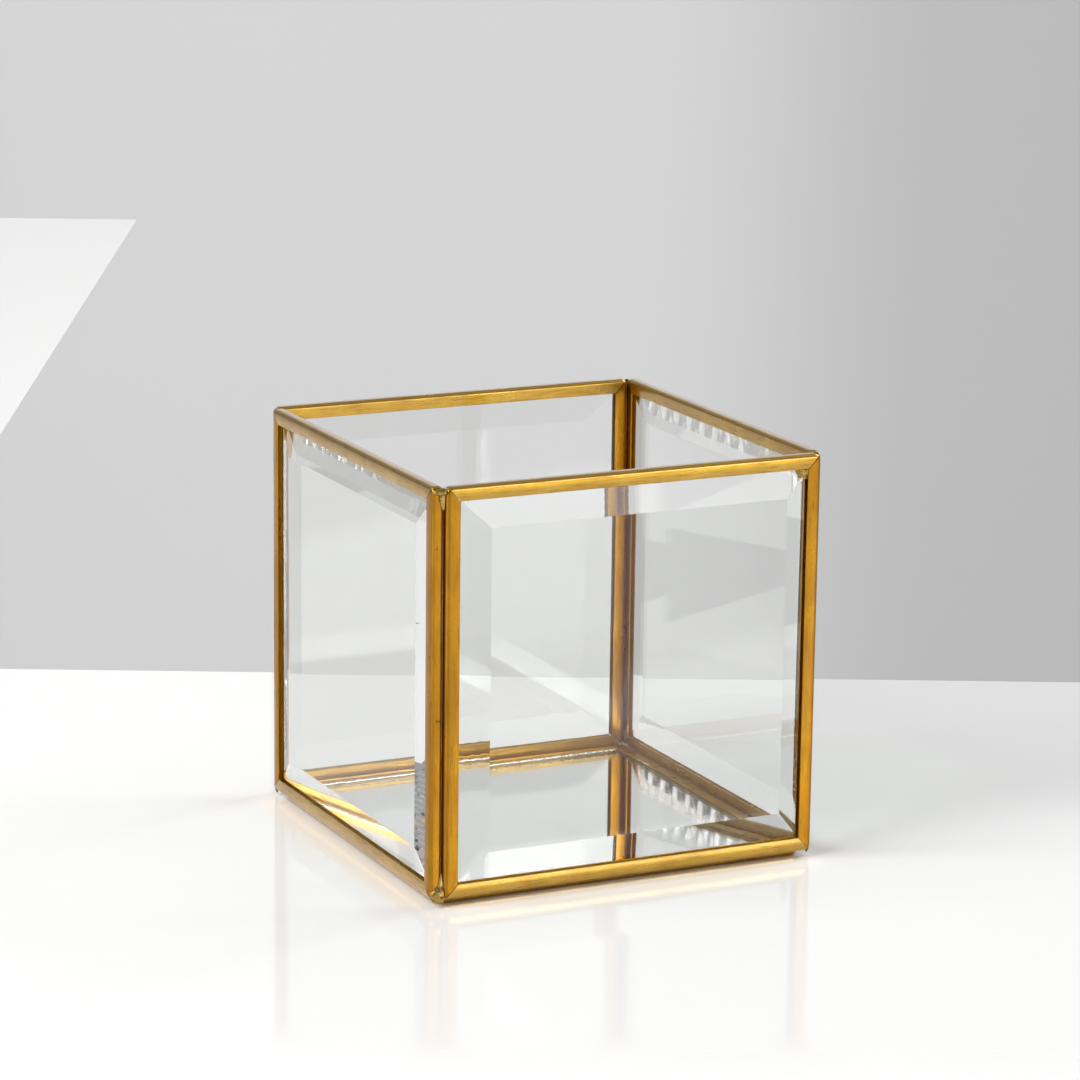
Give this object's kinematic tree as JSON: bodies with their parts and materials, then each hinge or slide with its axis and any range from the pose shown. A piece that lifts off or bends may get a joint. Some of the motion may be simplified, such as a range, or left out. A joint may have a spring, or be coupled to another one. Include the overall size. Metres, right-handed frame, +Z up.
{
  "type": "open-topped glass display cube",
  "caption": "Open-topped display cube of bevelled glass walls and a mirror base, each edged in brass channel and soldered corner to corner.",
  "frame": {"origin": "centre of the footprint, on the surface the cube stands on", "axes": "+Z up out of the open top; the front wall, the one with the wide bevel, faces -Y"},
  "size_m": [0.1004, 0.1004, 0.0987],
  "materials": {
    "brass": "rolled, lightly tarnished",
    "glass": "polished and bevelled",
    "mirror": "silvered glass",
    "solder": "lumpy, brass plated",
    "tin": "bare bright solder"
  },
  "bodies": {
    "root": {"front_channel_top": "brass", "front_channel_right": "brass", "front_channel_bottom": "brass", "front_channel_left": "brass", "right_channel_top": "brass", "right_channel_right": "brass", "right_channel_bottom": "brass", "right_channel_left": "brass", "back_channel_top": "brass", "back_channel_right": "brass", "back_channel_bottom": "brass", "back_channel_left": "brass", "left_channel_top": "brass", "left_channel_right": "brass", "left_channel_bottom": "brass", "left_channel_left": "brass", "front_glass": "glass", "right_glass": "glass", "back_glass": "glass", "left_glass": "glass", "base_channel_front": "brass", "base_channel_right": "brass", "base_channel_back": "brass", "base_channel_left": "brass", "base_mirror": "mirror", "solder_top_front_left": "solder", "solder_top_front_right": "solder", "solder_top_back_right": "solder", "solder_top_back_left": "solder", "solder_foot_front_left": "solder", "solder_foot_front_right": "solder", "solder_foot_back_right": "solder", "solder_foot_back_left": "solder", "rim_solder_gusset": "solder", "base_back_bead": "tin"}
  },
  "joints": []
}
